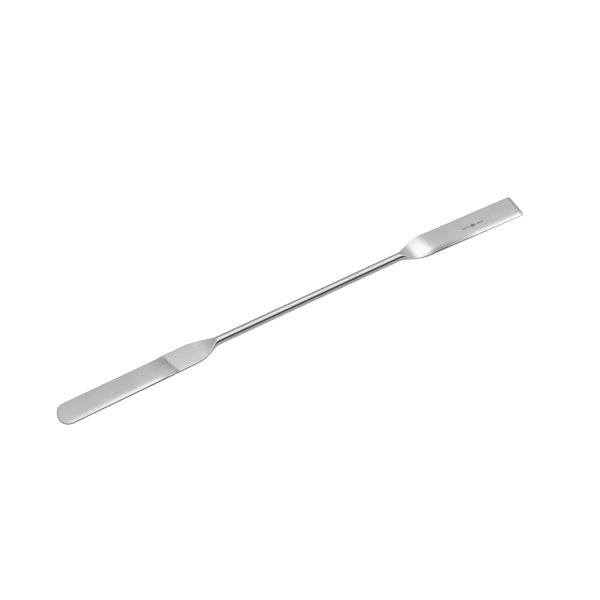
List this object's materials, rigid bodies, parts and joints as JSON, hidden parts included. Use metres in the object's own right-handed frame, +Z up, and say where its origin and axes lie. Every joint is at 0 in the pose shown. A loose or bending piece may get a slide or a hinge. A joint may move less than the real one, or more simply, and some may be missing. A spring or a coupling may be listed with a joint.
{
  "type": "double-ended spatula",
  "caption": "Double-ended stainless steel micro spatula: round polished rod flattened into a long round-tipped blade at one end and a shorter square-tipped blade at the other.",
  "frame": {"origin": "on the surface that the tool lies on, under the middle of its length", "axes": "+X along the rod from the round tip to the square tip, +Z up out of the blades' top faces, +Y across"},
  "size_m": [0.18, 0.0094, 0.0035],
  "materials": {
    "satin_blade": "stainless steel, finely polished along the blade to a soft satin shine",
    "polished_rod": "stainless steel, buffed nearly to a mirror, with faint drawing lines along the rod"
  },
  "bodies": {
    "root": {"round_tip_blade": "satin_blade", "handle_rod": "polished_rod", "square_tip_blade": "satin_blade"}
  },
  "joints": []
}
